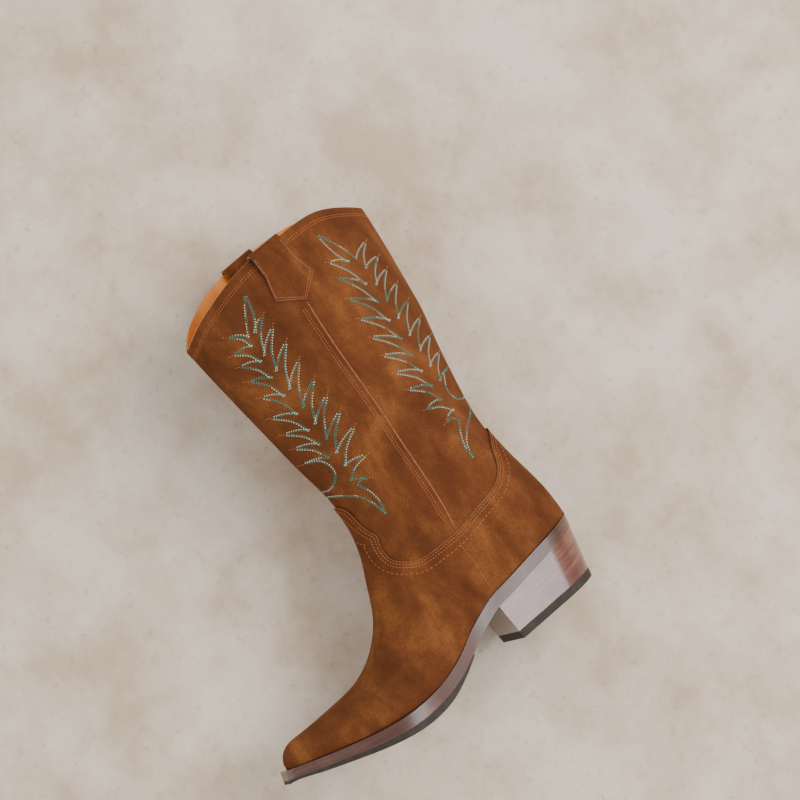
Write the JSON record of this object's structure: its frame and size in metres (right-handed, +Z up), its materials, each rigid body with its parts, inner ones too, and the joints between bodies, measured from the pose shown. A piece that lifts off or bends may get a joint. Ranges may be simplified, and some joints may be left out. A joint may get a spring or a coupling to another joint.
{
  "type": "western boot",
  "caption": "Mid-calf pull-on boot with embroidered suede shaft, cut-off pointed toe, stacked slanted heel and pull straps, standing upright.",
  "frame": {"origin": "centre of the bounding box on the ground plane under the heel base and the ball of the sole", "axes": "+Z up the leg, toe towards -Y, outer (lateral) side of this left boot towards +X"},
  "size_m": [0.0982, 0.3117, 0.338],
  "materials": {
    "suede": "napped cognac suede, matte",
    "lining": "smooth orange lining leather, satin",
    "stiffener": "plain stiffening board, matte",
    "sole": "burnished dark brown edge, glossy",
    "heel_stack": "stacked lifts, polished, glossy",
    "rubber": "olive brown rubber, matte",
    "cork": "pressed cork, matte",
    "board": "vegetable tanned insole leather, matte",
    "steel": "plain steel, satin"
  },
  "bodies": {
    "root": {"outsole": "sole", "half_sole": "rubber", "welt": "sole", "heel_rand": "sole", "cork_filler": "cork", "shank": "steel", "insole_board": "board", "sock_liner": "lining", "top_lift": "rubber", "heel_wedge": "heel_stack", "heel_nails": "steel", "vamp": "suede", "counter_cover": "suede", "shaft_front": "suede", "shaft_back": "suede", "toe_box": "stiffener", "heel_counter": "stiffener", "vamp_interlining": "stiffener", "shaft_lining_front": "lining", "shaft_lining_back": "lining", "vamp_lining": "lining", "side_piping_outer": "suede", "side_piping_inner": "suede", "pull_strap_outer": "suede", "pull_strap_inner": "suede", "heel_lift_1": "heel_stack", "heel_lift_2": "heel_stack", "heel_lift_3": "heel_stack", "heel_lift_4": "heel_stack", "heel_lift_5": "heel_stack"}
  },
  "joints": []
}
